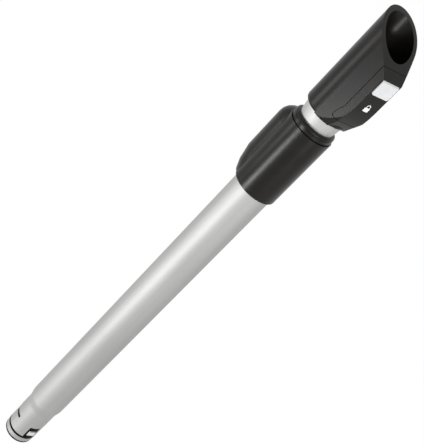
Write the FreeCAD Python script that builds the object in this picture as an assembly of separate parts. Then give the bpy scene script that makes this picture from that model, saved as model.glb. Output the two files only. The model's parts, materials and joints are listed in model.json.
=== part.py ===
import FreeCAD, Part
import math
import os

from FreeCAD import Vector

# Telescopic vacuum-cleaner wand: an outer steel tube with a latching spigot, a slide-lock
# sleeve, and a chromed inner tube that carries the hose socket with its release button.
# Millimetres. Origin: centre of the spigot's lower end. +Z runs along the wand to the
# socket. +X is the side of the release button and of the snap button, and the sleeve's
# hump and the socket's long lip lie on -X.

# ---- driving dimensions ------------------------------------------------------------------

OUTER_R = 17.5            # outer tube, 35 mm
OUTER_WALL = 0.9
SPIGOT_R = 15.75          # reduced lower end that plugs into the floor nozzle
INNER_R = 16.0            # sliding inner tube, 32 mm
INNER_WALL = 0.8

RUN_FIT = 0.06            # radial running fit between a slide and its guide
SEAT_FIT = 0.05           # radial gap between pieces of one body
SLIDE_GAP = 0.3           # free gap between pieces that pass each other

RIM_HEIGHT = 2.7          # black rim at the very end
TRIM_HEIGHT = 5.1         # metal trim ring above it
SEAL_HEIGHT = 3.3         # rubber band between the trim ring and the tube
OUTER_LENGTH = 434.9      # steel tube, from the rubber band to its upper end
SPIGOT_LENGTH = 37.9      # its straight reduced part
LAND_UP = 19.0            # seating land of the spigot above the tube's end
LAND_RISE = 0.2           # how far the land stands out of the spigot
NECK_HEIGHT = 9.0
NECK_ROUND = 12.0

INSERT_WALL = 1.2         # plastic lining of the spigot
INSERT_LENGTH = 36.0
RIM_DROP = 0.45           # how far the rim stands back from the spigot's surface
RIM_CHAMFER = 0.6
TRIM_DROP = 0.3
TRIM_CHAMFER = 0.25
SEAL_DROP = 0.05
SEAL_CHAMFER = 0.4

LATCH_WIDTH = 11.0        # notch in the spigot for the snap button's frame
LATCH_HEIGHT = 16.5
LATCH_CORNER = 1.6
FRAME_GAP = 0.15
FRAME_DROP = 0.3          # how far the frame stands back from the spigot's surface
FRAME_FLOOR = 1.0         # thickness of the frame behind the button
FRAME_DEPTH = 7.1         # how far the frame reaches in from the spigot's surface
FRAME_LIP = 1.85          # thickness of the lip that retains the button
SNAP_UP = 6.7             # middle of the snap button above the tube's end
SNAP_HEIGHT = 7.6
SNAP_WIDTH = 6.2
SNAP_PROUD = 1.0          # how far the snap button stands out of the spigot
SNAP_TRAVEL = 2.4
SNAP_FLANGE = 1.0         # thickness of the flange that keeps it in
SNAP_FLANGE_REACH = 0.8
SNAP_RAMP = 2.2           # lead-in slope on the snap button's lower edge
SNAP_SIDE_GAP = 0.1
SNAP_FACE = 1.3           # thickness of its face over the spring
SNAP_COIL_R = 1.6
SNAP_WIRE_R = 0.3
SNAP_TURNS = 4

SLOT_ANGLE = 96.0         # the two snap windows lie this far round from the latch
SLOT_UP = 15.8            # middle of the windows above the tube's end
SLOT_HEIGHT = 3.3
SLOT_WIDTH = 10.0

SLEEVE_LENGTH = 69.0
SLEEVE_RISE = 7.0         # top of the sleeve above the outer tube's end
SLEEVE_R = 20.1
SLEEVE_WALL = 1.2
SLEEVE_LIP = 2.0          # height of the inward lip at the sleeve's lower end
SLEEVE_TRAVEL = 7.0
HUMP_R = 18.2             # radius of the hump's back
HUMP_FOOT = 3.2           # how far the hump's centre lies off the tube's axis, at its foot
HUMP_SHOULDER = 10.0      # and at the bend of its rise
HUMP_OFFSET = 12.7        # and at its full height
HUMP_BEND_UP = 11.0       # bend of the rise above the sleeve's lower end
HUMP_RAMP = 21.0          # length of the rise
HUMP_NOSE = 11.0          # rounding at the hump's upper end

HOUSING_WALL = 1.04       # lock housing that lines the sleeve
HOUSING_LENGTH = 59.0
RIVET_R = 1.5
RIVET_UP = 8.0            # rivets above the housing's lower end
DRAG_UP = 3.4             # friction ring above the housing's lower end
DRAG_HEIGHT = 1.1
DRAG_DEPTH = 0.6
COLLAR_DROP = 1.0         # how far the collar stands back from the sleeve
COLLAR_HEIGHT = 6.6
COLLAR_ROUND = 2.2
COLLAR_BORE_GAP = 0.35
COLLAR_GROOVE = 0.5
COLLAR_GROOVE_DROP = 2.6  # lower edge of the groove below the collar's top

DETENT_PITCH = 30.0       # spacing of the locking notches
DETENT_STEPS = 11         # pitches between fully in and fully out
DETENT_DROP = 28.0        # height of the locking pin below the sleeve's top
NOTCH_HALF = 3.4          # half height of a notch at its floor
NOTCH_SLANT = 0.5
NOTCH_DEPTH = 1.9
NOTCH_REACH = 4.2         # half width of a notch across the flat
KEY_DEPTH = 0.7           # depth of the flat that stops the inner tube turning
PIN_R = 3.0
PIN_TRAVEL = 2.0
PIN_HEAD_R = 4.7
PIN_HEAD = 1.0
PIN_SINK = 0.6            # how far the pushed-in head dips into its well
PIN_CHAMFER = 0.5
PIN_FREE_GAP = 0.35       # pin tip to inner tube when the lock is open
PIN_WIRE_R = 0.4
PIN_TURNS = 3
TOWER_RISE = 4.21         # guide tower of the pin above the housing's barrel
TOWER_WIDTH = 13.0
TOWER_HEIGHT = 12.0
TOWER_CHAMFER = 1.2
GUIDE_LENGTH = 2.0        # length of the pin's guide bore
CAM_WIDTH = 7.0
CAM_OVERLAP = 4.0         # half length of the face in contact with the pin
CAM_GAP = 0.1

STOP_GAP = 4.0            # between the neck and the slide bush, pushed fully in
FOOT_HEIGHT = 4.0         # end foot of the slide bush
BUSH_LENGTH = 16.0        # skirt of the slide bush on the inner tube
BUSH_FIT = 0.02
SEAL_LAND = 1.0           # land on each side of the slide seal
SHOWN_LENGTH = 10.9       # inner tube between the collar and the socket
FLARE_HEIGHT = 11.2
FLARE_R = 17.5
FLARE_SINK = 0.5          # end of the flare inside the socket
TUBE_SEAT = 16.5          # how deep the inner tube sits in the socket
GUIDE_FLANGE = 3.0
GUIDE_LINER = 15.0
WIPER_GAP = 0.5           # between the felt ring and the collar

HEAD_LENGTH = 91.8
HEAD_R = 20.1
HEAD_ROUND = 2.4
SOCKET_CLEARANCE = 0.15   # radial clearance of a spigot in the hose socket
ENTRY_RISE = 0.2          # how far the socket's entry is wider, above the catch
ENTRY_UP = 12.0           # where the entry starts, above the inner tube's end
MOUTH_FALL = 35.0         # front of the oblique mouth below its long lip
MOUTH_BOW = 2.6           # how far the mouth's middle bulges above a straight cut
PAD_RISE = 6.5            # outer face of the cover above the round body
FLANK_TURN = 66.1         # direction of each flank's normal, from +X
PAD_ARC_R = 53.3          # rounding of the cover's rear slope
PAD_ARC_UP = 29.5         # where the slope ends, above the socket's lower end
PAD_FADE = 0.45           # the pad fades into the round body on this taper
COVER_REAR_UP = 9.5       # rear edge of the cover above the socket's lower end
COVER_WALL = 1.2
LEDGE_RISE = 0.2          # seat of the cover above the round body
LEDGE_DIP = 2.4           # how far the seat steps down at its rear
DIP_LENGTH = 12.0
DIP_SLOPE = 8.0
FLOOR_WALL = 1.4          # wall between the socket and the pocket under the cover
POCKET_HALF = 9.3
BOSS_WALL = 1.6           # wall over the end of the inner tube, under the cover
SEAM = 0.4                # shadow gap round the cover

BUTTON_LENGTH = 14.6      # from the button's rear edge to the front of the cover
BUTTON_HALF = 8.8
BUTTON_THICK = 1.8
BUTTON_PROUD = 0.9
BUTTON_CORNER = 1.3
CHEEK_GAP = 0.2
PIVOT_BACK = 4.7          # pivot behind the button's rear edge
PIVOT_LIFT = 4.2          # pivot above the pocket's floor
PIVOT_R = 1.25
PIVOT_FIT = 0.02
HUB_R = 2.6
LUG_WIDTH = 2.0
LEVER_HALF = 5.8
LEVER_LIFT = 3.1          # underside of the lever above the pocket's floor
LEVER_THICK = 2.9
LEVER_ARM_HALF = 4.0
LEVER_ARM_THICK = 1.8
LEVER_FRONT_GAP = 2.3     # between the lever's front and the cover's front
SPRING_UP = 6.3           # return spring in front of the button's rear edge
SPRING_SEAT = 1.6         # depth of the spring's seat in the lever
SPRING_COIL_R = 2.2
SPRING_WIRE_R = 0.3
SPRING_TURNS = 4
PEG_R = 1.5
PEG_HEIGHT = 1.2
TOOTH_UP = 6.6            # middle of the catch tooth above the inner tube's end
TOOTH_HEIGHT = 4.8
TOOTH_HALF = 3.0
TOOTH_BITE = 1.3          # how far the tooth stands in the socket
TOOTH_NOSE = 1.6
TOOTH_SWING = 1.0         # free space below the tooth

COIL_STEPS = 10           # straight runs in one turn of a spring

# ---- derived places ----------------------------------------------------------------------

TUBE_END = RIM_HEIGHT + TRIM_HEIGHT + SEAL_HEIGHT
OUTER_TOP = TUBE_END + OUTER_LENGTH
NECK_START = TUBE_END + SPIGOT_LENGTH
LAND_START = TUBE_END + LAND_UP
LAND_R = SPIGOT_R + LAND_RISE
NECK_TOP = NECK_START + NECK_HEIGHT
OUTER_BORE = OUTER_R - OUTER_WALL
SPIGOT_BORE = SPIGOT_R - OUTER_WALL
INSERT_R = SPIGOT_BORE - SLIDE_GAP
INSERT_BORE = INSERT_R - INSERT_WALL
LATCH_TOP = TUBE_END + LATCH_HEIGHT
SNAP_Z = TUBE_END + SNAP_UP
SLOT_Z = TUBE_END + SLOT_UP
FRAME_X = SPIGOT_R - FRAME_DEPTH
SNAP_FLOOR_X = FRAME_X + FRAME_FLOOR
FRAME_FACE = SPIGOT_R - FRAME_DROP
LIP_X = FRAME_FACE - FRAME_LIP
SNAP_TOP = SPIGOT_R + SNAP_PROUD

SLEEVE_TOP = OUTER_TOP + SLEEVE_RISE
SLEEVE_BOTTOM = SLEEVE_TOP - SLEEVE_LENGTH
HOUSING_BOTTOM = SLEEVE_TOP - HOUSING_LENGTH
RIVET_Z = HOUSING_BOTTOM + RIVET_UP
DRAG_Z = HOUSING_BOTTOM + DRAG_UP
DETENT_Z = SLEEVE_TOP - DETENT_DROP
HOUSING_BORE = OUTER_R + SEAT_FIT
HOUSING_R = HOUSING_BORE + HOUSING_WALL
SLEEVE_BORE = SLEEVE_R - SLEEVE_WALL
MITRE_REACH = 4 / 3 * HUMP_R
HUMP_BACK = HUMP_OFFSET + HUMP_R
KEY_X = INNER_R - KEY_DEPTH
NOTCH_FLOOR = KEY_X - NOTCH_DEPTH
PIN_TIP_X = KEY_X + PIN_FREE_GAP
SPRING_SEAT_X = HOUSING_BORE + GUIDE_LENGTH
TOWER_REACH = HOUSING_R + TOWER_RISE
PIN_HEAD_X = TOWER_REACH + PIN_TRAVEL - PIN_SINK
CAM_SLOPE = PIN_TRAVEL / SLEEVE_TRAVEL
FOLLOWER_X = PIN_HEAD_X + PIN_HEAD + (PIN_HEAD_R + SLIDE_GAP) * CAM_SLOPE

BUSH_R = OUTER_BORE - RUN_FIT
COLLAR_R = SLEEVE_R - COLLAR_DROP
COLLAR_TOP = SLEEVE_TOP + COLLAR_HEIGHT
HEAD_BOTTOM = COLLAR_TOP + SHOWN_LENGTH
FLARE_TOP = HEAD_BOTTOM + FLARE_SINK
FLARE_START = FLARE_TOP - FLARE_HEIGHT
INNER_BOTTOM = NECK_TOP + STOP_GAP + FOOT_HEIGHT
INNER_TOP = HEAD_BOTTOM + TUBE_SEAT
TUBE_SEAT_R = FLARE_R + SEAT_FIT
SOCKET_R = SPIGOT_R + SOCKET_CLEARANCE
ENTRY_R = SOCKET_R + ENTRY_RISE
ENTRY_START = INNER_TOP + ENTRY_UP

MOUTH_TIP = HEAD_BOTTOM + HEAD_LENGTH
MOUTH_FRONT = MOUTH_TIP - MOUTH_FALL
PAD_TOP = HEAD_R + PAD_RISE
PAD_ARC_START = HEAD_BOTTOM + PAD_ARC_UP
COVER_REAR = HEAD_BOTTOM + COVER_REAR_UP
LEDGE_X = HEAD_R + LEDGE_RISE
FLAT_X = SOCKET_R + FLOOR_WALL
BUTTON_START = MOUTH_FRONT - BUTTON_LENGTH
BUTTON_TOP = PAD_TOP + BUTTON_PROUD
BUTTON_BOTTOM = BUTTON_TOP - BUTTON_THICK
PIVOT_X = FLAT_X + PIVOT_LIFT
PIVOT_Z = BUTTON_START - PIVOT_BACK
LEVER_BOTTOM = FLAT_X + LEVER_LIFT
LEVER_TOP = LEVER_BOTTOM + LEVER_THICK
LEVER_FRONT = MOUTH_FRONT - LEVER_FRONT_GAP
SPRING_Z = BUTTON_START + SPRING_UP
TOOTH_Z = INNER_TOP + TOOTH_UP

X_AXIS = Vector(1, 0, 0)
Y_AXIS = Vector(0, 1, 0)
Z_AXIS = Vector(0, 0, 1)
CLEAR = 1.0               # how far a cutting tool runs past what it cuts


# ---- small helpers -----------------------------------------------------------------------

def disc(radius, z0, z1):
    """Upright cylinder on the wand's axis."""
    return Part.makeCylinder(radius, z1 - z0, Vector(0, 0, z0), Z_AXIS)


def ring(outer, inner, z0, z1):
    return disc(outer, z0, z1).cut(disc(inner, z0, z1))


def block(x0, x1, half_y, z0, z1):
    """Box that is symmetric about the XZ plane."""
    return Part.makeBox(x1 - x0, 2 * half_y, z1 - z0, Vector(x0, -half_y, z0))


def x_rod(radius, x0, x1, z):
    """Cylinder along X through the point (0, 0, z)."""
    return Part.makeCylinder(radius, x1 - x0, Vector(x0, 0, z), X_AXIS)


def y_rod(radius, half_y, x, z):
    return Part.makeCylinder(radius, 2 * half_y, Vector(x, -half_y, z), Y_AXIS)


def polygon(points):
    """Closed wire through points given as (x, z)."""
    corners = [Vector(x, 0, z) for x, z in points]
    return Part.makePolygon(corners + corners[:1])


def revolve(points):
    """Solid of revolution about the wand's axis, of an outline given as (radius, z)."""
    return Part.Face(polygon(points)).revolve(Vector(0, 0, 0), Z_AXIS, 360)


def slab(wire, half_y):
    """Solid of an XZ outline, symmetric about the XZ plane."""
    face = Part.Face(wire)
    face.translate(Vector(0, -half_y, 0))
    return face.extrude(Vector(0, 2 * half_y, 0))


def rounding(radius, edge_r, z, turns):
    """Points (radius, z) of a rounded outer edge, from its side to its end face.

    z is the end face's height, and the rounding lies below it when edge_r is positive."""
    steps = [math.radians(90 * k / turns) for k in range(turns + 1)]
    return [(radius - abs(edge_r) * (1 - math.cos(a)), z - edge_r * (1 - math.sin(a)))
            for a in steps]


def coil(length, mean_r, wire_r, turns):
    """Compression spring that stands on the origin, along +Z, of six-sided wire."""
    steps = round(turns * COIL_STEPS)
    rise = (length - 2 * wire_r) / steps
    lean = math.atan2(rise * COIL_STEPS, 2 * math.pi * mean_r)
    rings = []
    for step in range(steps + 1):
        turn = 2 * math.pi * step / COIL_STEPS
        out = Vector(math.cos(turn), math.sin(turn), 0)
        along = Vector(-out.y * math.cos(lean), out.x * math.cos(lean), math.sin(lean))
        up = out.cross(along)
        centre = out * mean_r + Vector(0, 0, wire_r + rise * step)
        corners = [centre + out * (wire_r * math.cos(a)) + up * (wire_r * math.sin(a))
                   for a in (math.radians(60 * k) for k in range(6))]
        rings.append(Part.makePolygon(corners + corners[:1]))
    return Part.makeLoft(rings, True, True)


def x_coil(length, mean_r, wire_r, turns, x0, z):
    """Compression spring along +X from x0."""
    spring = coil(length, mean_r, wire_r, turns)
    spring.rotate(Vector(0, 0, 0), Y_AXIS, 90)
    spring.translate(Vector(x0, 0, z))
    return spring


def round_edges(shape, radius, chosen):
    """Fillet every edge for which chosen(edge) is true."""
    return shape.makeFillet(radius, [edge for edge in shape.Edges if chosen(edge)])


# ---- spigot ------------------------------------------------------------------------------

def latch_outline(gap):
    """Notch outline for the latch, seen along X, open at the tube's end."""
    half = LATCH_WIDTH / 2 - gap
    top = LATCH_TOP - gap
    shape = Part.makeBox(SPIGOT_R + CLEAR, 2 * half, top - TUBE_END + CLEAR,
                         Vector(0, -half, TUBE_END - CLEAR))
    return round_edges(shape, LATCH_CORNER, lambda e: e.BoundBox.XLength > SPIGOT_R
                       and e.BoundBox.ZMin > top - 0.1)


def slot_tools(gap):
    """The two snap windows beside the latch as solids, shrunk by gap."""
    half = SLOT_WIDTH / 2 - gap
    height = SLOT_HEIGHT - 2 * gap
    tool = block(INSERT_BORE, SPIGOT_R + CLEAR, half, SLOT_Z - height / 2, SLOT_Z + height / 2)
    return [tool.rotated(Vector(0, 0, 0), Z_AXIS, side * SLOT_ANGLE) for side in (-1, 1)]


def rivet_rods(radius, r0, r1):
    return [Part.makeCylinder(radius, r1 - r0, Vector(0, side * r0, RIVET_Z),
                              Vector(0, side, 0)) for side in (-1, 1)]


def outer_tube():
    """Steel tube, necked down to the spigot, with the latch notch and its windows."""
    tube = revolve([(SPIGOT_BORE, TUBE_END), (SPIGOT_R, TUBE_END), (SPIGOT_R, LAND_START),
                    (LAND_R, LAND_START + LAND_RISE), (LAND_R, NECK_START), (OUTER_R, NECK_TOP),
                    (OUTER_R, OUTER_TOP), (OUTER_BORE, OUTER_TOP), (OUTER_BORE, NECK_TOP),
                    (SPIGOT_BORE, NECK_START)])
    bends = ((LAND_R, NECK_START), (OUTER_R, NECK_TOP))
    tube = round_edges(tube, NECK_ROUND, lambda e: e.BoundBox.ZLength < 0.01 and any(
        abs(e.BoundBox.ZMin - z) < 0.01 and abs(e.BoundBox.XMax - r) < 0.01
        for r, z in bends))
    tools = [latch_outline(0), x_rod(PIN_R + SLIDE_GAP, -OUTER_R - CLEAR, -INNER_R, DETENT_Z)]
    tools += slot_tools(0)
    tools += rivet_rods(RIVET_R + SEAT_FIT, INNER_R, OUTER_R + CLEAR)
    return tube.cut(tools)


def spigot_insert():
    """Plastic lining: the rim, the sleeve inside the tube and its two snap lugs."""
    rim = SPIGOT_R - RIM_DROP
    body = revolve([(INSERT_BORE, 0), (rim - RIM_CHAMFER, 0), (rim, RIM_CHAMFER),
                    (rim, RIM_HEIGHT), (INSERT_R, RIM_HEIGHT), (INSERT_R, INSERT_LENGTH),
                    (INSERT_BORE, INSERT_LENGTH)])
    reach = ring(FRAME_FACE, INSERT_R - SEAT_FIT, SLOT_Z - SLOT_HEIGHT, SLOT_Z + SLOT_HEIGHT)
    for tool in slot_tools(2 * SEAT_FIT):
        body = body.fuse(tool.common(reach))
    notch = block(0, SPIGOT_R + CLEAR, LATCH_WIDTH / 2, TUBE_END, LATCH_TOP)
    return body.cut(notch).removeSplitter()


def spigot_trim():
    radius = SPIGOT_R - TRIM_DROP
    bore = INSERT_R + SEAT_FIT
    z1 = RIM_HEIGHT + TRIM_HEIGHT
    return revolve([(bore, RIM_HEIGHT), (radius, RIM_HEIGHT), (radius, z1 - TRIM_CHAMFER),
                    (radius - TRIM_CHAMFER, z1), (bore, z1)])


def spigot_seal():
    """Rubber band between the trim ring and the tube's end, with softened edges."""
    radius = SPIGOT_R - SEAL_DROP
    bore = INSERT_R + SEAT_FIT
    z0 = RIM_HEIGHT + TRIM_HEIGHT
    return revolve([(bore, z0), (radius - SEAL_CHAMFER, z0), (radius, z0 + SEAL_CHAMFER),
                    (radius, TUBE_END), (bore, TUBE_END)])


def latch_frame():
    """Black frame in the notch that carries the snap button and its spring."""
    frame = latch_outline(FRAME_GAP).common(disc(FRAME_FACE, TUBE_END, LATCH_TOP))
    frame = frame.common(block(FRAME_X, SPIGOT_R, LATCH_WIDTH, TUBE_END, LATCH_TOP))
    half_y = SNAP_WIDTH / 2 + SNAP_SIDE_GAP
    half_z = SNAP_HEIGHT / 2 + SNAP_SIDE_GAP
    mouth = block(SNAP_FLOOR_X, SPIGOT_R, half_y, SNAP_Z - half_z, SNAP_Z + half_z)
    half_y += SNAP_FLANGE_REACH + SNAP_SIDE_GAP
    half_z += SNAP_FLANGE_REACH
    chamber = block(SNAP_FLOOR_X, LIP_X, half_y, SNAP_Z - half_z, SNAP_Z + half_z)
    return frame.cut([mouth, chamber])


def snap_button():
    """Button with a lead-in slope, a flange under the frame's lip and a spring seat."""
    half_z = SNAP_HEIGHT / 2
    z0 = SNAP_Z - half_z
    z1 = SNAP_Z + half_z
    top = LIP_X - SNAP_SIDE_GAP
    foot = top - SNAP_FLANGE
    outline = polygon([(foot, z0), (SNAP_TOP - SNAP_RAMP, z0), (SNAP_TOP, z0 + SNAP_RAMP),
                       (SNAP_TOP, z1), (foot, z1)])
    flange = block(foot, top, SNAP_WIDTH / 2 + SNAP_FLANGE_REACH, z0 - SNAP_FLANGE_REACH,
                   z1 + SNAP_FLANGE_REACH)
    seat = x_rod(SNAP_COIL_R + SNAP_WIRE_R + SNAP_SIDE_GAP, foot - CLEAR,
                 SNAP_TOP - SNAP_FACE, SNAP_Z)
    return slab(outline, SNAP_WIDTH / 2).fuse(flange).cut(seat).removeSplitter()


def snap_spring():
    length = SNAP_TOP - SNAP_FACE - SNAP_FLOOR_X
    return x_coil(length, SNAP_COIL_R, SNAP_WIRE_R, SNAP_TURNS, SNAP_FLOOR_X, SNAP_Z)


# ---- slide lock --------------------------------------------------------------------------

def between(low, high):
    """Space between two lines across the XZ plane, each given as (point, direction)."""
    corners = [low[0] - low[1], low[0] + low[1], high[0] + high[1], high[0] - high[1]]
    return slab(polygon([(corner.x, corner.z) for corner in corners]), 2 * HUMP_R)


def hump_form(inset):
    """Barrel and back hump of the sleeve, or its hollow when inset is the wall.

    The hump's rise is two leaning round bars, mitred to each other and to its back."""
    radius = HUMP_R - inset
    top = SLEEVE_TOP - inset
    path = [Vector(-HUMP_FOOT, 0, SLEEVE_BOTTOM),
            Vector(-HUMP_SHOULDER, 0, SLEEVE_BOTTOM + HUMP_BEND_UP),
            Vector(-HUMP_OFFSET, 0, SLEEVE_BOTTOM + HUMP_RAMP)]
    runs = [(high - low).normalize() for low, high in zip(path, path[1:])] + [Z_AXIS]
    bends = [X_AXIS] + [Y_AXIS.cross(a + b).normalize() for a, b in zip(runs, runs[1:])]
    cuts = [(point, bend * MITRE_REACH) for point, bend in zip(path, bends)]
    form = disc(SLEEVE_R - inset, SLEEVE_BOTTOM, top)
    for step in range(len(path) - 1):
        length = (path[step + 1] - path[step]).Length + 2 * HUMP_R
        rod = Part.makeCylinder(radius, length, path[step] - runs[step] * HUMP_R, runs[step])
        form = form.fuse(rod.common(between(cuts[step], cuts[step + 1])))
    back = revolve([(0, top), (0, SLEEVE_BOTTOM), (radius, SLEEVE_BOTTOM)]
                   + rounding(radius, HUMP_NOSE - inset, top, 5))
    back.translate(Vector(-HUMP_OFFSET, 0, 0))
    end = (Vector(-HUMP_OFFSET, 0, SLEEVE_TOP), X_AXIS * 2 * HUMP_R)
    return form.fuse(back.common(between(cuts[2], end))).removeSplitter()


def sleeve_shell():
    """Slide sleeve: a thin hull over the housing, with the hump over the locking pin."""
    hollow = hump_form(SLEEVE_WALL).fuse(disc(SLEEVE_BORE, SLEEVE_BOTTOM, SLEEVE_TOP + CLEAR))
    lip_top = SLEEVE_BOTTOM + SLEEVE_LIP
    hollow = hollow.cut(disc(SLEEVE_R + HUMP_R, SLEEVE_BOTTOM - CLEAR, lip_top))
    mouth = disc(OUTER_R + SLIDE_GAP, SLEEVE_BOTTOM - CLEAR, lip_top + CLEAR)
    return hump_form(0).cut([hollow, mouth])


def cam_face(z):
    """Distance from the axis of the cam's face at height z, with the sleeve at rest."""
    return FOLLOWER_X - CAM_SLOPE * (z - DETENT_Z)


def lock_cam():
    """Wedge in the sleeve's hump that drives the locking pin inwards."""
    z0 = DETENT_Z - CAM_OVERLAP
    z1 = DETENT_Z + CAM_OVERLAP + SLEEVE_TRAVEL
    outline = polygon([(-cam_face(z0) - CAM_GAP, z0), (-cam_face(z1) - CAM_GAP, z1),
                       (-HUMP_BACK, z1), (-HUMP_BACK, z0)])
    seat = Part.makeCylinder(HUMP_R - SLEEVE_WALL - SEAT_FIT, z1 - z0,
                             Vector(-HUMP_OFFSET, 0, z0), Z_AXIS)
    return slab(outline, CAM_WIDTH / 2).common(seat)


def lock_pin():
    """Pin that drops into a notch of the inner tube, with a sloping head."""
    tip = x_rod(PIN_R, -PIN_HEAD_X, -PIN_TIP_X, DETENT_Z)
    end = [edge for edge in tip.Edges if edge.BoundBox.XMin > -PIN_TIP_X - 0.01]
    tip = tip.makeChamfer(PIN_CHAMFER, end)
    head = x_rod(PIN_HEAD_R, -PIN_HEAD_X - PIN_HEAD, -PIN_HEAD_X, DETENT_Z)
    z0 = DETENT_Z - CAM_OVERLAP
    z1 = DETENT_Z + CAM_OVERLAP
    plate = PIN_HEAD_X + PIN_HEAD / 2
    wedge = slab(polygon([(-plate, z0), (-cam_face(z0), z0), (-cam_face(z1), z1),
                          (-plate, z1)]), CAM_WIDTH / 3)
    return tip.fuse([head, wedge]).removeSplitter()


def pin_spring():
    length = PIN_HEAD_X - SPRING_SEAT_X
    coil_r = PIN_R + RUN_FIT + PIN_WIRE_R + PIN_WIRE_R
    return x_coil(length, coil_r, PIN_WIRE_R, PIN_TURNS, -PIN_HEAD_X, DETENT_Z)


def lock_housing():
    """Plastic housing fixed on the outer tube: the sleeve slides on it."""
    groove = HOUSING_R - DRAG_DEPTH
    z0 = DRAG_Z - DRAG_HEIGHT / 2
    z1 = DRAG_Z + DRAG_HEIGHT / 2
    barrel = revolve([(HOUSING_BORE, HOUSING_BOTTOM), (HOUSING_R, HOUSING_BOTTOM),
                      (HOUSING_R, z0), (groove, z0), (groove, z1), (HOUSING_R, z1),
                      (HOUSING_R, SLEEVE_TOP), (HOUSING_BORE, SLEEVE_TOP)])
    half = TOWER_HEIGHT / 2
    tower = block(-TOWER_REACH, 0, TOWER_WIDTH / 2, DETENT_Z - half, DETENT_Z + half)
    corners = [e for e in tower.Edges if e.BoundBox.XMax < 0.01 - TOWER_REACH
               and e.BoundBox.YLength < 0.01]
    tower = tower.makeChamfer(TOWER_CHAMFER, corners).cut(disc(HOUSING_BORE, 0, OUTER_TOP))
    guide = x_rod(PIN_R + RUN_FIT, -TOWER_REACH - CLEAR, -INNER_R, DETENT_Z)
    well = x_rod(PIN_HEAD_R + SLIDE_GAP, -TOWER_REACH - CLEAR, -SPRING_SEAT_X, DETENT_Z)
    holes = rivet_rods(RIVET_R + SEAT_FIT, INNER_R, HOUSING_R + CLEAR)
    return barrel.fuse(tower).cut([guide, well] + holes)


def housing_rivets():
    """Two tubular rivets through the housing and the outer tube."""
    face = disc(HOUSING_R - SEAT_FIT, RIVET_Z - 2 * RIVET_R, RIVET_Z + 2 * RIVET_R)
    rods = rivet_rods(RIVET_R, OUTER_BORE + SEAT_FIT, HOUSING_R)
    return Part.makeCompound([rod.common(face) for rod in rods])


def friction_ring():
    """Rubber ring that makes the sleeve stay where it is put."""
    inner = HOUSING_R - DRAG_DEPTH + RUN_FIT
    outer = SLEEVE_BORE - RUN_FIT
    half = DRAG_HEIGHT / 2 - RUN_FIT
    crown = outer - half / 2
    return revolve([(inner, DRAG_Z - half), (crown, DRAG_Z - half), (outer, DRAG_Z),
                    (crown, DRAG_Z + half), (inner, DRAG_Z + half)])


def guide_bush():
    """Flanged liner in the top of the outer tube, with a flat that keys the inner tube."""
    z0 = OUTER_TOP - GUIDE_LINER
    z1 = OUTER_TOP + GUIDE_FLANGE
    liner = OUTER_BORE - SEAT_FIT
    bush = revolve([(0, z0), (liner, z0), (liner, OUTER_TOP), (OUTER_R, OUTER_TOP),
                    (OUTER_R, z1), (0, z1)])
    return bush.cut(keyed_rod(RUN_FIT, z0 - CLEAR, z1 + CLEAR))


def wiper_ring():
    """Felt ring that wipes the inner tube."""
    z0 = OUTER_TOP + GUIDE_FLANGE
    return disc(OUTER_R, z0, SLEEVE_TOP - WIPER_GAP).cut(keyed_rod(RUN_FIT, z0 - CLEAR, SLEEVE_TOP))


def collar_ring():
    """Cap that closes the housing, with a rounded top edge and a fine groove."""
    bore = INNER_R + COLLAR_BORE_GAP
    floor = COLLAR_R - COLLAR_GROOVE
    low = COLLAR_TOP - COLLAR_GROOVE_DROP - COLLAR_GROOVE
    return revolve([(bore, SLEEVE_TOP), (floor, SLEEVE_TOP), (COLLAR_R, SLEEVE_TOP + COLLAR_GROOVE),
                    (COLLAR_R, low), (floor, low), (floor, low + COLLAR_GROOVE),
                    (COLLAR_R, low + COLLAR_GROOVE)]
                   + rounding(COLLAR_R, COLLAR_ROUND, COLLAR_TOP, 3) + [(bore, COLLAR_TOP)])


# ---- inner tube --------------------------------------------------------------------------

def keyed_rod(gap, z0, z1):
    """The inner tube's outline with its key flat on -X, grown by gap."""
    radius = INNER_R + gap
    flat = KEY_X + gap
    return disc(radius, z0, z1).common(block(-flat, radius, radius, z0, z1))


def notch_form(z, wall):
    """One pressed notch across the key flat: its space, or its skin's outside with a wall."""
    mouth = NOTCH_HALF + NOTCH_SLANT + wall
    floor = NOTCH_HALF + wall
    depth = NOTCH_FLOOR - wall
    top = KEY_X + CLEAR * (1 if wall == 0 else 0)
    outline = polygon([(-top, z - mouth), (-depth, z - floor), (-depth, z + floor),
                       (-top, z + mouth)])
    return slab(outline, NOTCH_REACH + wall)


def inner_tube():
    """Chromed tube: keyed and notched below, flared into the socket above."""
    def form(inset):
        straight = keyed_rod(-inset, INNER_BOTTOM, FLARE_START - CLEAR)
        upper = revolve([(0, FLARE_START - CLEAR), (INNER_R - inset, FLARE_START - CLEAR),
                         (INNER_R - inset, FLARE_START), (FLARE_R - inset, FLARE_TOP),
                         (FLARE_R - inset, INNER_TOP), (0, INNER_TOP)])
        return straight.fuse(upper)

    places = [DETENT_Z - step * DETENT_PITCH for step in range(DETENT_STEPS + 1)]
    limit = keyed_rod(-INNER_WALL / 2, INNER_BOTTOM, FLARE_START)
    skins = [notch_form(z, INNER_WALL).common(limit) for z in places]
    tube = form(0).cut(form(INNER_WALL)).fuse(skins)
    return tube.cut([notch_form(z, 0) for z in places]).removeSplitter()


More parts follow.
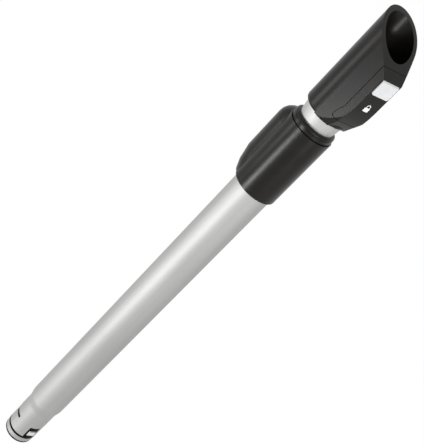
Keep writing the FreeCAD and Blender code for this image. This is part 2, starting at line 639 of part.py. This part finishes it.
def slide_bush():
    """Bush at the inner tube's lower end, which guides it in the outer tube."""
    z0 = INNER_BOTTOM - FOOT_HEIGHT
    z1 = INNER_BOTTOM + BUSH_LENGTH
    groove = INNER_R - SEAT_FIT
    bush = revolve([(0, z0), (BUSH_R, z0), (BUSH_R, z0 + SEAL_LAND), (groove, z0 + SEAL_LAND),
                    (groove, INNER_BOTTOM - SEAL_LAND), (BUSH_R, INNER_BOTTOM - SEAL_LAND),
                    (BUSH_R, z1), (0, z1)])
    bore = disc(INNER_R - INNER_WALL, z0 - CLEAR, INNER_BOTTOM)
    return bush.cut([keyed_rod(BUSH_FIT, INNER_BOTTOM, z1 + CLEAR), bore])


def slide_seal():
    """Rubber ring in the slide bush's foot, which keeps the suction in."""
    z0 = INNER_BOTTOM - FOOT_HEIGHT
    return ring(OUTER_BORE - RUN_FIT / 2, INNER_R - SEAT_FIT, z0 + SEAL_LAND,
                INNER_BOTTOM - SEAL_LAND)


# ---- hose socket -------------------------------------------------------------------------

def mouth_tool(inset):
    """Everything beyond the oblique, slightly bulging mouth, moved down by inset."""
    far = 2 * PAD_TOP
    tip = Vector(-HEAD_R, 0, MOUTH_TIP - inset)
    front = Vector(PAD_TOP, 0, MOUTH_FRONT - inset)
    middle = (tip + front) * 0.5 + Vector(0, 0, MOUTH_BOW)
    cut = Part.Arc(tip, middle, front).toShape()
    fall = cut.tangentAt(cut.LastParameter)
    out = front + fall * ((far - PAD_TOP) / fall.x)
    back = Vector(-far, 0, MOUTH_TIP - inset + HEAD_R / 2)
    roof = MOUTH_TIP + HEAD_R
    edges = [Part.makeLine(back, tip), cut, Part.makeLine(front, out),
             Part.makeLine(out, Vector(far, 0, roof)),
             Part.makeLine(Vector(far, 0, roof), Vector(-far, 0, roof)),
             Part.makeLine(Vector(-far, 0, roof), back)]
    return slab(Part.Wire(edges), far)


def flank_y(x, inset):
    """Half width of the pad at x: its flanks are flat and touch the round body."""
    turn = math.radians(FLANK_TURN)
    return (HEAD_R - inset - x * math.cos(turn)) / math.sin(turn)


def pad_prism(inset):
    """Flat-flanked pad that blends into the round body, over the socket's whole length."""
    turn = math.radians(FLANK_TURN)
    foot = (HEAD_R - inset) * math.cos(turn)
    top = PAD_TOP - inset
    corners = [Vector(0, 0, HEAD_BOTTOM)]
    for x in (foot, top):
        corners.append(Vector(x, flank_y(x, inset), HEAD_BOTTOM))
    for x in (top, foot):
        corners.append(Vector(x, -flank_y(x, inset), HEAD_BOTTOM))
    face = Part.Face(Part.makePolygon(corners + corners[:1]))
    return face.extrude(Vector(0, 0, HEAD_LENGTH + HEAD_R))


def pad_slope(inset):
    """Side form of the raised pad: rear slope, flat top."""
    radius = PAD_ARC_R - inset
    centre_x = PAD_TOP - PAD_ARC_R
    turn = math.asin((PAD_ARC_UP + CLEAR) / radius)
    arc = [Vector(centre_x + radius * math.cos(a), 0, PAD_ARC_START - radius * math.sin(a))
           for a in (turn, turn / 2, 0)]
    far = Vector(arc[2].x, 0, MOUTH_TIP + HEAD_R)
    edges = [Part.Arc(*arc).toShape(), Part.makeLine(arc[2], far),
             Part.makeLine(far, Vector(-HEAD_R, 0, far.z)),
             Part.makeLine(Vector(-HEAD_R, 0, far.z), Vector(-HEAD_R, 0, arc[0].z)),
             Part.makeLine(Vector(-HEAD_R, 0, arc[0].z), arc[0])]
    return slab(Part.Wire(edges), 2 * HEAD_R)


def pad_form(inset):
    """The raised pad: prism, rear slope, a taper into the round body, and the mouth."""
    low = HEAD_R - inset
    high = low + PAD_FADE * (HEAD_LENGTH + HEAD_R)
    fade = Part.makeCone(low, high, HEAD_LENGTH + HEAD_R, Vector(0, 0, HEAD_BOTTOM), Z_AXIS)
    return pad_prism(inset).common(pad_slope(inset)).common(fade).cut(mouth_tool(inset))


def cover_zone(gap):
    """The space of the cover, above its seat, which steps down towards the rear."""
    far = 2 * PAD_TOP
    rear = COVER_REAR + gap
    seat = LEDGE_X + gap
    dip = seat - LEDGE_DIP
    outline = [(far, rear), (dip + LEDGE_DIP / 2, rear), (dip, rear + LEDGE_DIP / 2),
               (dip, COVER_REAR + DIP_LENGTH - DIP_SLOPE), (seat, COVER_REAR + DIP_LENGTH),
               (seat, MOUTH_TIP + HEAD_R), (far, MOUTH_TIP + HEAD_R)]
    return slab(polygon(outline), 2 * HEAD_R)


def tube_boss(gap):
    """Rise in the seat that covers the end of the inner tube."""
    z0 = COVER_REAR - CLEAR
    z1 = INNER_TOP + BOSS_WALL + gap
    arch = disc(TUBE_SEAT_R + BOSS_WALL + gap, z0, z1)
    return arch.common(block(0, 2 * HEAD_R, POCKET_HALF + gap, z0, z1))


def head_body():
    """Moulded socket: round body, oblique mouth, seat and pocket under the cover."""
    barrel = revolve([(0, MOUTH_TIP + HEAD_R), (0, HEAD_BOTTOM)]
                     + rounding(HEAD_R, -HEAD_ROUND, HEAD_BOTTOM, 3)[::-1]
                     + [(HEAD_R, MOUTH_TIP + HEAD_R)])
    pocket_end = LEVER_FRONT + CLEAR
    pocket = block(FLAT_X, 2 * PAD_TOP, POCKET_HALF, INNER_TOP, pocket_end)
    body = barrel.fuse(pad_form(0)).cut([mouth_tool(0), cover_zone(0), pocket])
    hub = PIVOT_X + HUB_R
    y0 = LEVER_HALF + SLIDE_GAP
    lugs = [Part.makeBox(hub - FLAT_X, LUG_WIDTH, 2 * HUB_R, Vector(FLAT_X, y, PIVOT_Z - HUB_R))
            for y in (y0, -y0 - LUG_WIDTH)]
    peg = x_rod(PEG_R, FLAT_X - FLOOR_WALL / 2, FLAT_X + PEG_HEIGHT, SPRING_Z)
    body = body.fuse([tube_boss(0), peg] + lugs)
    half = TOOTH_HEIGHT / 2
    window = block(SOCKET_R / 2, LEVER_BOTTOM, TOOTH_HALF + CHEEK_GAP + SLIDE_GAP,
                   TOOTH_Z - half - TOOTH_SWING, TOOTH_Z + half + 2 * SLIDE_GAP)
    return body.cut([disc(TUBE_SEAT_R, HEAD_BOTTOM - CLEAR, INNER_TOP),
                     disc(SOCKET_R, INNER_TOP - CLEAR, MOUTH_TIP),
                     disc(ENTRY_R, ENTRY_START, MOUTH_TIP + CLEAR), window,
                     y_rod(PIVOT_R + PIVOT_FIT, HEAD_R, PIVOT_X, PIVOT_Z)]).removeSplitter()


def head_cover():
    """Clip-on cover over the latch, with a window for the release button."""
    cover = pad_form(0).common(cover_zone(SEAM))
    foot = pad_form(COVER_WALL / 2).common(cover_zone(0))
    foot = foot.common(block(LEDGE_X, LEDGE_X + 2 * SEAM, 2 * HEAD_R, COVER_REAR + DIP_LENGTH,
                             MOUTH_TIP))
    hollow = pad_form(COVER_WALL).common(block(0, 2 * PAD_TOP, 2 * HEAD_R,
                                               COVER_REAR + SEAM + COVER_WALL, MOUTH_TIP))
    window = block(BUTTON_BOTTOM - COVER_WALL, 2 * PAD_TOP, BUTTON_HALF + CHEEK_GAP,
                   BUTTON_START - CHEEK_GAP, MOUTH_TIP).cut(mouth_tool(COVER_WALL))
    return cover.fuse(foot).cut([hollow, window, tube_boss(SEAM)]).removeSplitter()


def latch_lever():
    """See-saw: the button presses its front arm, and its rear arm lifts the tooth."""
    half = BUTTON_HALF - 4 * CHEEK_GAP
    platform = block(LEVER_BOTTOM, LEVER_TOP, half, BUTTON_START + SEAM, LEVER_FRONT)
    bridge = block(LEVER_BOTTOM, LEVER_TOP, LEVER_HALF, PIVOT_Z, BUTTON_START + CLEAR)
    hub = y_rod(HUB_R, LEVER_HALF, PIVOT_X, PIVOT_Z)
    z0 = TOOTH_Z - TOOTH_HEIGHT / 2
    z1 = TOOTH_Z + TOOTH_HEIGHT / 2
    arm_x = LEVER_BOTTOM - LEVER_ARM_THICK / 2
    arm = block(arm_x, arm_x + LEVER_ARM_THICK, LEVER_ARM_HALF, z0 - SEAM, PIVOT_Z)
    tip = SOCKET_R - TOOTH_BITE
    tooth = slab(polygon([(LEVER_BOTTOM, z0), (tip, z0), (tip, z0 + TOOTH_NOSE),
                          (SOCKET_R + SEAM, z1), (LEVER_BOTTOM, z1)]), TOOTH_HALF)
    lever = platform.fuse([bridge, hub, arm, tooth])
    bore = y_rod(PIVOT_R + RUN_FIT, HEAD_R, PIVOT_X, PIVOT_Z)
    seat = x_rod(SPRING_COIL_R + 2 * SPRING_WIRE_R, LEVER_BOTTOM - CLEAR,
                 LEVER_BOTTOM + SPRING_SEAT, SPRING_Z)
    return lever.cut([bore, seat]).removeSplitter()


def release_button():
    """Silver push button, with a stem that stands on the lever."""
    cap = block(BUTTON_BOTTOM, BUTTON_TOP, BUTTON_HALF, BUTTON_START, MOUTH_TIP)
    cap = cap.cut(mouth_tool(COVER_WALL + 2 * CHEEK_GAP))
    cap = cap.makeChamfer(BUTTON_CORNER, [e for e in cap.Edges if e.BoundBox.XLength > 1
                                          and e.BoundBox.ZMax < BUTTON_START + 0.01])
    stem = block(LEVER_TOP, BUTTON_BOTTOM, BUTTON_HALF - 3 * CLEAR, BUTTON_START + BUTTON_CORNER,
                 LEVER_FRONT - BUTTON_CORNER)
    return cap.fuse(stem).removeSplitter()


def pivot_pin():
    return y_rod(PIVOT_R, LEVER_HALF + SLIDE_GAP + LUG_WIDTH, PIVOT_X, PIVOT_Z)


def lever_spring():
    length = LEVER_BOTTOM + SPRING_SEAT - FLAT_X
    return x_coil(length, SPRING_COIL_R, SPRING_WIRE_R, SPRING_TURNS, FLAT_X, SPRING_Z)


# ---- output ------------------------------------------------------------------------------

NODES = (outer_tube, spigot_insert, spigot_trim, spigot_seal, latch_frame, snap_button,
         snap_spring, sleeve_shell, lock_cam, lock_pin, pin_spring, lock_housing,
         housing_rivets, friction_ring, guide_bush, wiper_ring, collar_ring, inner_tube,
         slide_bush, slide_seal, head_body, head_cover, latch_lever, release_button,
         pivot_pin, lever_spring)

os.makedirs("parts", exist_ok=True)
for make in NODES:
    shape = make()
    shape.exportStep("parts/" + make.__name__ + ".step")
    box = shape.BoundBox
    print("%-16s solids %d valid %s volume %.1f  X %.2f..%.2f Y %.2f..%.2f Z %.2f..%.2f" % (
        make.__name__, len(shape.Solids), shape.isValid(), shape.Volume,
        box.XMin, box.XMax, box.YMin, box.YMax, box.ZMin, box.ZMax))
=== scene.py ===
import json
import math

import bmesh
import bpy
from mathutils import Matrix, Vector

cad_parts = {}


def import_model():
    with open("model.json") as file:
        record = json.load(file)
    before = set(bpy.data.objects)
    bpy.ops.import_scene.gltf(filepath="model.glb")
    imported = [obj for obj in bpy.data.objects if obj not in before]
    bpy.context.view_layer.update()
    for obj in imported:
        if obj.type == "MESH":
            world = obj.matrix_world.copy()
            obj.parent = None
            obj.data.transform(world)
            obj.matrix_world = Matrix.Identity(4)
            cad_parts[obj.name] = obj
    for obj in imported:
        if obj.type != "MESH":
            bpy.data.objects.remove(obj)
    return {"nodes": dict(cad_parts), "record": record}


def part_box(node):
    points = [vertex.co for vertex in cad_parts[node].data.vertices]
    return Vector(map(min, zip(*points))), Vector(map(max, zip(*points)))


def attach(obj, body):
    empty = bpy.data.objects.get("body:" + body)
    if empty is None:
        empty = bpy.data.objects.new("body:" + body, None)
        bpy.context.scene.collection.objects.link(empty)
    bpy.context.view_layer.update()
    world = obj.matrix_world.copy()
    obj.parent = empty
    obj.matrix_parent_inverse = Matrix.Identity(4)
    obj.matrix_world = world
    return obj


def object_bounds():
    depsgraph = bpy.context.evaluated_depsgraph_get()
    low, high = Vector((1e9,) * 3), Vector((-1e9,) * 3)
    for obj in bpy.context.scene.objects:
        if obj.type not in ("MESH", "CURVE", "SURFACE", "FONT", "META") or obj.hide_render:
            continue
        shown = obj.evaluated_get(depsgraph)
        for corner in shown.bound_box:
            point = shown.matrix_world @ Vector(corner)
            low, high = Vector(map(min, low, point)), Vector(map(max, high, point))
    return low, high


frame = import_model()
cad_bounds = [list(corner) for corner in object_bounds()]
NODES = frame["nodes"]


def placed(name, data):
    """New object with this data, in the scene's own collection."""
    item = bpy.data.objects.new(name, data)
    bpy.context.scene.collection.objects.link(item)
    return item


# ---- node helpers --------------------------------------------------------------------------

RAMP_START = 0.3
RAMP_END = 0.7


class Tree:
    """A material's node tree, with short calls for the nodes that every finish uses."""

    def __init__(self, name):
        self.material = bpy.data.materials.new(name)
        self.material.use_nodes = True
        self.nodes = self.material.node_tree.nodes
        self.links = self.material.node_tree.links
        self.shader = self.nodes["Principled BSDF"]
        self.place = self.add("ShaderNodeTexCoord").outputs["Object"]

    def add(self, kind, **values):
        node = self.nodes.new(kind)
        for key, value in values.items():
            setattr(node, key, value)
        return node

    def link(self, output, target):
        self.links.new(output, target)

    def stretched(self, scale):
        mapping = self.add("ShaderNodeMapping")
        mapping.inputs["Scale"].default_value = scale
        self.link(self.place, mapping.inputs["Vector"])
        return mapping.outputs["Vector"]

    def noise(self, scale, detail, roughness, stretch=None):
        node = self.add("ShaderNodeTexNoise")
        node.inputs["Scale"].default_value = scale
        node.inputs["Detail"].default_value = detail
        node.inputs["Roughness"].default_value = roughness
        self.link(self.stretched(stretch) if stretch else self.place, node.inputs["Vector"])
        return node.outputs["Fac"]

    def ramp(self, factor, low, high):
        """Colour that goes from low to high over the middle of the factor's range."""
        node = self.add("ShaderNodeValToRGB")
        node.color_ramp.elements[0].position = RAMP_START
        node.color_ramp.elements[1].position = RAMP_END
        node.color_ramp.elements[0].color = low
        node.color_ramp.elements[1].color = high
        self.link(factor, node.inputs["Fac"])
        return node.outputs["Color"]

    def spread(self, factor, low, high):
        """The factor, carried from 0..1 to low..high."""
        node = self.add("ShaderNodeMapRange")
        node.inputs["To Min"].default_value = low
        node.inputs["To Max"].default_value = high
        self.link(factor, node.inputs["Value"])
        return node.outputs["Result"]

    def bump(self, height, strength, distance):
        node = self.add("ShaderNodeBump")
        node.inputs["Strength"].default_value = strength
        node.inputs["Distance"].default_value = distance
        self.link(height, node.inputs["Height"])
        self.link(node.outputs["Normal"], self.shader.inputs["Normal"])

    def finish(self, color, roughness, metallic=0.0, specular=0.5):
        self.link(color, self.shader.inputs["Base Color"])
        self.link(roughness, self.shader.inputs["Roughness"])
        self.shader.inputs["Metallic"].default_value = metallic
        self.shader.inputs["Specular IOR Level"].default_value = specular
        return self.material


# ---- finishes ------------------------------------------------------------------------------

# Base colours, linear. Each finish drifts between two of them.
CHARCOAL = (0.0036, 0.0031, 0.0027, 1.0)
CHARCOAL_WORN = (0.0066, 0.0057, 0.0051, 1.0)
RUBBER = (0.002, 0.002, 0.002, 1.0)
RUBBER_WORN = (0.004, 0.004, 0.004, 1.0)
STEEL_DARK = (0.33, 0.33, 0.325, 1.0)
STEEL = (0.39, 0.39, 0.385, 1.0)
CHROME = (0.44, 0.44, 0.435, 1.0)
PALE_PLASTIC = (0.55, 0.55, 0.53, 1.0)
PALE_PLASTIC_WORN = (0.6, 0.6, 0.58, 1.0)
SILVER_DULL = (0.60, 0.61, 0.62, 1.0)
SILVER_PAINT = (0.67, 0.68, 0.69, 1.0)
PRINT_THIN = (0.70, 0.70, 0.69, 1.0)
PRINT_FULL = (0.82, 0.82, 0.81, 1.0)
FELT_DARK = (0.02, 0.02, 0.02, 1.0)
FELT_LIGHT = (0.04, 0.04, 0.04, 1.0)

# Noise: scale, detail and roughness.
CLOUD_NOISE = (45.0, 4.0, 0.6)
GRAIN_NOISE = (5200.0, 2.0, 0.6)
STREAK_NOISE = (260.0, 4.0, 0.65)
STREAK_STRETCH = (1.0, 1.0, 0.02)
HAZE_NOISE = (9.0, 2.0, 0.5)
HAZE_SHARE = 0.5

GRAIN_HEIGHT = 0.00004
STREAK_HEIGHT = 0.00003
STREAK_STRENGTH = 0.05
# How far the roughness drifts below and above its middle value.
PLASTIC_DRIFT = (0.04, 0.05)
STEEL_DRIFT = (0.05, 0.07)


def moulded_plastic(name, low, high, rough=0.30, grain=0.06, specular=0.19):
    """Satin moulding with a fine spark-eroded grain."""
    tree = Tree(name)
    cloud = tree.noise(*CLOUD_NOISE)
    fine = tree.noise(*GRAIN_NOISE)
    color = tree.ramp(cloud, low, high)
    tree.bump(fine, grain, GRAIN_HEIGHT)
    below, above = PLASTIC_DRIFT
    return tree.finish(color, tree.spread(cloud, rough - below, rough + above),
                       specular=specular)


def drawn_steel(name, low, high, rough=0.60):
    """Steel drawn along Z: faint streaks along the wand and a soft cloudiness."""
    tree = Tree(name)
    streaks = tree.noise(*STREAK_NOISE, STREAK_STRETCH)
    haze = tree.noise(*HAZE_NOISE)
    mixed = tree.add("ShaderNodeMix", data_type="FLOAT")
    mixed.inputs["Factor"].default_value = HAZE_SHARE
    tree.link(streaks, mixed.inputs["A"])
    tree.link(haze, mixed.inputs["B"])
    tree.bump(streaks, STREAK_STRENGTH, STREAK_HEIGHT)
    below, above = STEEL_DRIFT
    return tree.finish(tree.ramp(mixed.outputs["Result"], low, high),
                       tree.spread(streaks, rough - below, rough + above), metallic=1.0)


FINISHES = {
    "tube_metal": drawn_steel("drawn steel tube", STEEL_DARK, STEEL),
    "tube_chrome": drawn_steel("polished inner tube", STEEL, CHROME, rough=0.62),
    "black_plastic": moulded_plastic("charcoal plastic", CHARCOAL, CHARCOAL_WORN),
    "light_plastic": moulded_plastic("pale plastic", PALE_PLASTIC, PALE_PLASTIC_WORN),
    "silver_plastic": moulded_plastic("silver painted plastic", SILVER_DULL, SILVER_PAINT,
                                      rough=0.28, grain=0.1),
    "seal_rubber": moulded_plastic("black rubber", RUBBER, RUBBER_WORN,
                                   rough=0.55, grain=0.5, specular=0.06),
    "print": moulded_plastic("white print", PRINT_THIN, PRINT_FULL, rough=0.5),
    "felt": moulded_plastic("grey felt", FELT_DARK, FELT_LIGHT, rough=0.9, grain=1.0),
    "spring_steel": drawn_steel("bright spring steel", STEEL, CHROME, rough=0.35),
}

# The mouldings in the spigot are a duller, deeper black than the socket and the sleeve.
DULL_BLACK = moulded_plastic("dull black plastic", RUBBER, RUBBER_WORN,
                             rough=0.55, grain=0.3, specular=0.06)
DULL_NODES = ("spigot_insert", "latch_frame")


def dress_nodes():
    for part in frame["record"]["subparts"]:
        node = part["node"]
        mesh = NODES[node].data
        mesh.materials.clear()
        mesh.materials.append(DULL_BLACK if node in DULL_NODES
                              else FINISHES[part["material_slot"]])


dress_nodes()


# ---- padlock mark --------------------------------------------------------------------------

MARK_WIDTH = 0.0052
MARK_BODY = 0.0036        # height of the lock's body
MARK_CORNER = 0.0005
MARK_OVERLAP = 0.0002     # how deep the bow stands in the body
MARK_DROP = 0.0152        # foot of the mark below the release button
MARK_SINK = 0.00002
MARK_THICK = 0.00008
BOW_R = 0.0019
BOW_WIDTH = 0.0007
BOW_UP = 0.0045           # centre of the bow's arc above the foot of the mark
BOW_STEPS = 12
CORNER_STEPS = 3


def bow_line(radius, foot):
    """Points (across, up) of the bow at this radius: up one leg, over the top and down."""
    turns = [math.pi * (1 - k / BOW_STEPS) for k in range(BOW_STEPS + 1)]
    top = [(radius * math.cos(a), BOW_UP + radius * math.sin(a)) for a in turns]
    return [(-radius, foot)] + top + [(radius, foot)]


def body_line():
    """Points (across, up) round the lock's body, with rounded corners."""
    reach = MARK_WIDTH / 2 - MARK_CORNER
    low, high = MARK_CORNER, MARK_BODY - MARK_CORNER
    corners = ((reach, low, -90), (reach, high, 0), (-reach, high, 90), (-reach, low, 180))
    points = []
    for across, up, start in corners:
        for k in range(CORNER_STEPS + 1):
            a = math.radians(start + 90 / CORNER_STEPS * k)
            points.append((across + MARK_CORNER * math.cos(a), up + MARK_CORNER * math.sin(a)))
    return points


def padlock_mark():
    """A plain white padlock printed on the cover, behind the release button."""
    face_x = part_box("head_cover")[1][0] - MARK_SINK
    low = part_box("release_button")[0][2] - MARK_DROP
    shape = bmesh.new()

    def put(points):
        return [shape.verts.new((face_x, across, low + up)) for across, up in points]

    shape.faces.new(put(body_line()))
    foot = MARK_BODY - MARK_OVERLAP
    outer = put(bow_line(BOW_R, foot))
    inner = put(bow_line(BOW_R - BOW_WIDTH, foot))
    for k in range(len(outer) - 1):
        shape.faces.new((outer[k], outer[k + 1], inner[k + 1], inner[k]))
    skin = bmesh.ops.extrude_face_region(shape, geom=shape.faces[:])["geom"]
    raised = [item for item in skin if isinstance(item, bmesh.types.BMVert)]
    bmesh.ops.translate(shape, verts=raised, vec=(MARK_THICK, 0, 0))
    bmesh.ops.recalc_face_normals(shape, faces=shape.faces[:])
    mesh = bpy.data.meshes.new("padlock_mark")
    shape.to_mesh(mesh)
    shape.free()
    mesh.materials.append(FINISHES["print"])
    mark = placed("padlock_mark", mesh)
    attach(mark, "extension")


padlock_mark()


# ---- stage ---------------------------------------------------------------------------------

WHITE = (1.0, 1.0, 1.0, 1.0)
FLOOR_GREY = (0.8, 0.8, 0.8, 1.0)
FLOOR_ROUGHNESS = 0.9
FLOOR_GLOW = 0.9          # share of the floor's look that is plain white
GLOW_LEVEL = 1.06
FLOOR_DROP = 0.002
FLOOR_SIZE = 6.0
WORLD_LEVEL = 0.45

CAMERA_EYE = (0.45609, -0.48909, 0.71967)
CAMERA_FORWARD = (-0.59275, 0.62861, -0.50348)
CAMERA_UP = (-0.75362, -0.21242, 0.62204)
CAMERA_LENS = 74.56

# Lamps: name, location, target, width and height, brightness of the face. The streak lamp is
# below the floor, because the upright tube mirrors what lies there to the camera.
LAMPS = (
    ("streak", (0.174, -1.004, -0.130), (0, 0, 0.25), (0.26, 0.41), 25.0),
    ("left", (-0.485, -0.875, 0.15), (0, 0, 0.48), (0.3, 0.3), 6.0),
    ("window", (0.98, -0.03, 0.30), (0, 0, 0.55), (0.28, 0.14), 18.0),
    ("key", (-0.9, -1.3, 1.3), (0, 0, 0.3), (0.9, 1.2), 1.5),
    ("side", (1.5, -0.3, 1.2), (0, 0, 0.45), (1.0, 1.0), 5.0),
)


def sees_background(nodes, links):
    """1 for the rays that should see the plain white studio: camera, mirror and glass rays."""
    rays = nodes.new("ShaderNodeLightPath")
    total = rays.outputs["Is Camera Ray"]
    for kind in ("Is Glossy Ray", "Is Transmission Ray"):
        add = nodes.new("ShaderNodeMath")
        add.operation = "MAXIMUM"
        links.new(total, add.inputs[0])
        links.new(rays.outputs[kind], add.inputs[1])
        total = add.outputs["Value"]
    return total


def pale_floor_material():
    """White to the camera, with the object's shadow kept as a soft grey."""
    material = bpy.data.materials.new("pale floor")
    material.use_nodes = True
    nodes = material.node_tree.nodes
    links = material.node_tree.links
    shader = nodes["Principled BSDF"]
    shader.inputs["Base Color"].default_value = FLOOR_GREY
    shader.inputs["Roughness"].default_value = FLOOR_ROUGHNESS
    glow = nodes.new("ShaderNodeEmission")
    glow.inputs["Strength"].default_value = GLOW_LEVEL
    share = nodes.new("ShaderNodeMath")
    share.operation = "MULTIPLY"
    share.inputs[1].default_value = FLOOR_GLOW
    links.new(sees_background(nodes, links), share.inputs[0])
    mix = nodes.new("ShaderNodeMixShader")
    links.new(share.outputs["Value"], mix.inputs["Fac"])
    links.new(shader.outputs["BSDF"], mix.inputs[1])
    links.new(glow.outputs["Emission"], mix.inputs[2])
    links.new(mix.outputs["Shader"], nodes["Material Output"].inputs["Surface"])
    return material


def floor(z, size):
    """Floor that lets the lamp below it and all mirror rays through, like a light table."""
    mesh = bpy.data.meshes.new("floor")
    half = size / 2
    mesh.from_pydata([(-half, -half, z), (half, -half, z), (half, half, z), (-half, half, z)],
                     [], [(0, 1, 2, 3)])
    mesh.materials.append(pale_floor_material())
    plane = placed("floor", mesh)
    plane.visible_shadow = False
    plane.visible_glossy = False


def aimed(location, target, up):
    """Matrix of an object at location that looks along -Z at target, with up on its +Y."""
    back = (Vector(location) - Vector(target)).normalized()
    right = Vector(up).cross(back).normalized()
    top = back.cross(right)
    turn = Matrix((right, top, back)).transposed().to_4x4()
    return Matrix.Translation(location) @ turn


def camera():
    """The photograph's view: from the button's side, above the middle of the wand."""
    data = bpy.data.cameras.new("camera")
    data.sensor_fit = "AUTO"
    data.sensor_width = 36.0
    data.lens = CAMERA_LENS
    data.clip_start = 0.01
    data.clip_end = 20.0
    eye = Vector(CAMERA_EYE)
    item = placed("camera", data)
    item.matrix_world = aimed(eye, eye + Vector(CAMERA_FORWARD), CAMERA_UP)
    bpy.context.scene.camera = item


def world(strength):
    """White to the camera and in mirrors, and weaker where it lights the surfaces."""
    studio = bpy.data.worlds.new("studio")
    bpy.context.scene.world = studio
    studio.use_nodes = True
    nodes = studio.node_tree.nodes
    links = studio.node_tree.links
    level = nodes.new("ShaderNodeMapRange")
    level.inputs["To Min"].default_value = strength
    level.inputs["To Max"].default_value = 1.0
    links.new(sees_background(nodes, links), level.inputs["Value"])
    nodes["Background"].inputs["Color"].default_value = WHITE
    links.new(level.outputs["Result"], nodes["Background"].inputs["Strength"])


def softbox(name, location, target, size, radiance):
    """Rectangular lamp of the given width and height, with the brightness of its face."""
    data = bpy.data.lights.new(name, "AREA")
    data.energy = radiance * math.pi * size[0] * size[1]
    data.shape = "RECTANGLE"
    data.size, data.size_y = size
    item = placed(name, data)
    item.matrix_world = aimed(location, target, (0, 0, 1))
    item.visible_camera = False


floor(cad_bounds[0][2] - FLOOR_DROP, FLOOR_SIZE)
camera()
world(WORLD_LEVEL)
for lamp in LAMPS:
    softbox(*lamp)
bpy.context.scene.view_settings.view_transform = "Standard"
